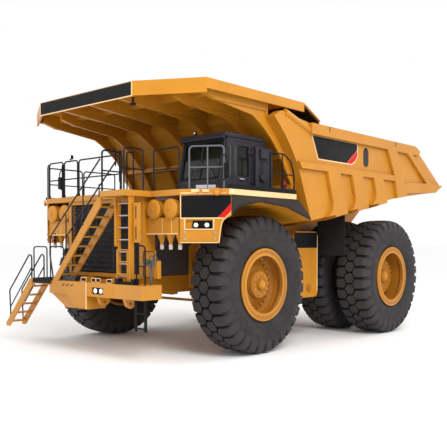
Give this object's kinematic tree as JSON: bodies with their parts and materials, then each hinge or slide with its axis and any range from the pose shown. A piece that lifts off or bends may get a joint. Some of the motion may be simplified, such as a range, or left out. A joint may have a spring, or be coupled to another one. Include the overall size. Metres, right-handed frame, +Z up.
{
  "type": "mining dump truck",
  "caption": "Rigid-frame mining dump truck with a ribbed tipping body and canopy, offset cab, decks with rails, twin rear wheels and steered front wheels.",
  "frame": {"origin": "on the ground under the middle of the whole truck's box", "axes": "+X towards the front, +Y to the driver's left, +Z up"},
  "size_m": [13.2, 7.56, 6.5998],
  "materials": {
    "yellow_paint": "semi-gloss",
    "black_paint": "satin",
    "cab_paint": "satin",
    "cab_plastic": "matte",
    "grille_black": "matte",
    "engine_iron": "painted",
    "rod_chrome": "polished",
    "black_rubber": "matte",
    "tyre": "matte",
    "glass": "clear",
    "seat_fabric": "woven"
  },
  "bodies": {
    "chassis": {"frame_rails": "yellow_paint", "frame_crossmembers": "yellow_paint", "strut_towers": "yellow_paint", "suspension_cylinders": "yellow_paint", "rear_axle_housing": "yellow_paint", "deck": "yellow_paint", "fender_left": "yellow_paint", "fender_right": "yellow_paint", "air_cleaners": "yellow_paint", "radiator_shroud": "yellow_paint", "radiator_grille": "grille_black", "engine_block": "engine_iron", "front_bumper": "yellow_paint", "diagonal_stair": "yellow_paint", "front_ladder": "black_paint", "hanging_ladder": "black_paint", "deck_rails_left": "black_paint", "deck_rails_right": "black_paint", "deck_rails_front": "black_paint", "cab_shell": "cab_paint", "cab_roof": "cab_paint", "cab_glass": "glass", "operator_seat": "seat_fabric", "steering_console": "cab_plastic", "fuel_tank": "yellow_paint", "hydraulic_tank": "yellow_paint"},
    "cab_door": {"cab_door": "cab_paint", "door_glass": "glass"},
    "swing_stair": {"swing_stair": "yellow_paint"},
    "bed": {"bed_floor": "yellow_paint", "bed_beams": "yellow_paint", "bed_side_left": "yellow_paint", "bed_side_right": "yellow_paint", "bed_front_wall": "yellow_paint", "bed_canopy": "yellow_paint", "mud_flaps": "black_rubber"},
    "tie_rod": {"tie_rod": "yellow_paint"},
    "knuckle_left": {"knuckle_left": "yellow_paint"},
    "steer_barrel_left": {"steer_barrel_left": "yellow_paint"},
    "steer_rod_left": {"steer_rod_left": "rod_chrome"},
    "hoist_barrel_left": {"hoist_barrel_left": "yellow_paint"},
    "hoist_stage_left": {"hoist_stage_left": "rod_chrome"},
    "hoist_rod_left": {"hoist_rod_left": "rod_chrome"},
    "front_wheel_left": {"front_tyre_left": "tyre", "front_rim_left": "yellow_paint"},
    "rear_wheel_left": {"rear_inner_tyre_left": "tyre", "rear_outer_tyre_left": "tyre", "rear_rim_left": "yellow_paint"},
    "knuckle_right": {"knuckle_right": "yellow_paint"},
    "steer_barrel_right": {"steer_barrel_right": "yellow_paint"},
    "steer_rod_right": {"steer_rod_right": "rod_chrome"},
    "hoist_barrel_right": {"hoist_barrel_right": "yellow_paint"},
    "hoist_stage_right": {"hoist_stage_right": "rod_chrome"},
    "hoist_rod_right": {"hoist_rod_right": "rod_chrome"},
    "front_wheel_right": {"front_tyre_right": "tyre", "front_rim_right": "yellow_paint"},
    "rear_wheel_right": {"rear_inner_tyre_right": "tyre", "rear_outer_tyre_right": "tyre", "rear_rim_right": "yellow_paint"}
  },
  "joints": [
    {"name": "bed_tilt", "type": "hinge", "parent": "chassis", "child": "bed", "pos_m": [-4.25, 0, 3.05], "axis": [0, -1, 0], "range_deg": [0, 45]},
    {"name": "cab_door_swing", "type": "hinge", "parent": "chassis", "child": "cab_door", "pos_m": [3.5, 3.025, 4.78], "axis": [0, 0, 1], "range_deg": [0, 85]},
    {"name": "stair_lift", "type": "hinge", "parent": "chassis", "child": "swing_stair", "pos_m": [6.31, -2.24, 1.78], "axis": [-1, 0, 0], "range_deg": [0, 70]},
    {"name": "steer", "type": "hinge", "parent": "chassis", "child": "knuckle_left", "pos_m": [3.305, 2, 1.775], "axis": [0, 0, 1], "range_deg": [-36, 36]},
    {"name": "steer_right", "type": "hinge", "parent": "chassis", "child": "knuckle_right", "pos_m": [3.305, -2, 1.775], "axis": [0, 0, 1], "range_deg": [-36, 36]},
    {"name": "tie_rod_pivot", "type": "hinge", "parent": "knuckle_left", "child": "tie_rod", "pos_m": [2.545, 2, 1.14], "axis": [0, 0, 1], "range_deg": [-36, 36]},
    {"name": "steer_barrel_left_swing", "type": "hinge", "parent": "chassis", "child": "steer_barrel_left", "pos_m": [2.955, 0.4, 1.39], "axis": [0, 0, 1], "range_deg": [-10, 10]},
    {"name": "steer_rod_left_slide", "type": "slide", "parent": "steer_barrel_left", "child": "steer_rod_left", "axis": [-0.0933, 0.9956, 0], "range_m": [-0.32, 0.32]},
    {"name": "hoist_barrel_left_swing", "type": "hinge", "parent": "chassis", "child": "hoist_barrel_left", "pos_m": [-0.6, 1, 1.5], "axis": [0, -1, 0], "range_deg": [0, 20]},
    {"name": "hoist_stage_left_slide", "type": "slide", "parent": "hoist_barrel_left", "child": "hoist_stage_left", "axis": [0.0531, 0, 0.9986], "range_m": [0, 1.4]},
    {"name": "hoist_rod_left_slide", "type": "slide", "parent": "hoist_stage_left", "child": "hoist_rod_left", "axis": [0.0531, 0, 0.9986], "range_m": [0, 1.4]},
    {"name": "front_wheel_left_spin", "type": "hinge", "parent": "knuckle_left", "child": "front_wheel_left", "pos_m": [3.305, 2.805, 1.775], "axis": [0, 1, 0], "continuous": true},
    {"name": "rear_wheel_left_spin", "type": "hinge", "parent": "chassis", "child": "rear_wheel_left", "pos_m": [-2.6, 2.49, 1.775], "axis": [0, 1, 0], "continuous": true},
    {"name": "steer_barrel_right_swing", "type": "hinge", "parent": "chassis", "child": "steer_barrel_right", "pos_m": [2.955, -0.4, 1.39], "axis": [0, 0, 1], "range_deg": [-10, 10]},
    {"name": "steer_rod_right_slide", "type": "slide", "parent": "steer_barrel_right", "child": "steer_rod_right", "axis": [-0.0933, -0.9956, 0], "range_m": [-0.32, 0.32]},
    {"name": "hoist_barrel_right_swing", "type": "hinge", "parent": "chassis", "child": "hoist_barrel_right", "pos_m": [-0.6, -1, 1.5], "axis": [0, -1, 0], "range_deg": [0, 20]},
    {"name": "hoist_stage_right_slide", "type": "slide", "parent": "hoist_barrel_right", "child": "hoist_stage_right", "axis": [0.0531, 0, 0.9986], "range_m": [0, 1.4]},
    {"name": "hoist_rod_right_slide", "type": "slide", "parent": "hoist_stage_right", "child": "hoist_rod_right", "axis": [0.0531, 0, 0.9986], "range_m": [0, 1.4]},
    {"name": "front_wheel_right_spin", "type": "hinge", "parent": "knuckle_right", "child": "front_wheel_right", "pos_m": [3.305, -2.805, 1.775], "axis": [0, 1, 0], "continuous": true},
    {"name": "rear_wheel_right_spin", "type": "hinge", "parent": "chassis", "child": "rear_wheel_right", "pos_m": [-2.6, -2.49, 1.775], "axis": [0, 1, 0], "continuous": true}
  ],
  "couplings": [
    {"joint": "steer_right", "follows": "steer", "ratio": 1},
    {"joint": "tie_rod_pivot", "follows": "steer", "ratio": -1},
    {"joint": "steer_barrel_left_swing", "follows": "steer", "ratio": 0.0275},
    {"joint": "steer_rod_left_slide", "follows": "steer", "m_per_rad": -0.47},
    {"joint": "hoist_barrel_left_swing", "follows": "bed_tilt", "ratio": 0.405},
    {"joint": "hoist_stage_left_slide", "follows": "bed_tilt", "m_per_rad": 1.7625},
    {"joint": "hoist_rod_left_slide", "follows": "bed_tilt", "m_per_rad": 1.7625},
    {"joint": "steer_barrel_right_swing", "follows": "steer", "ratio": 0.0275},
    {"joint": "steer_rod_right_slide", "follows": "steer", "m_per_rad": 0.47},
    {"joint": "hoist_barrel_right_swing", "follows": "bed_tilt", "ratio": 0.405},
    {"joint": "hoist_stage_right_slide", "follows": "bed_tilt", "m_per_rad": 1.7625},
    {"joint": "hoist_rod_right_slide", "follows": "bed_tilt", "m_per_rad": 1.7625}
  ]
}
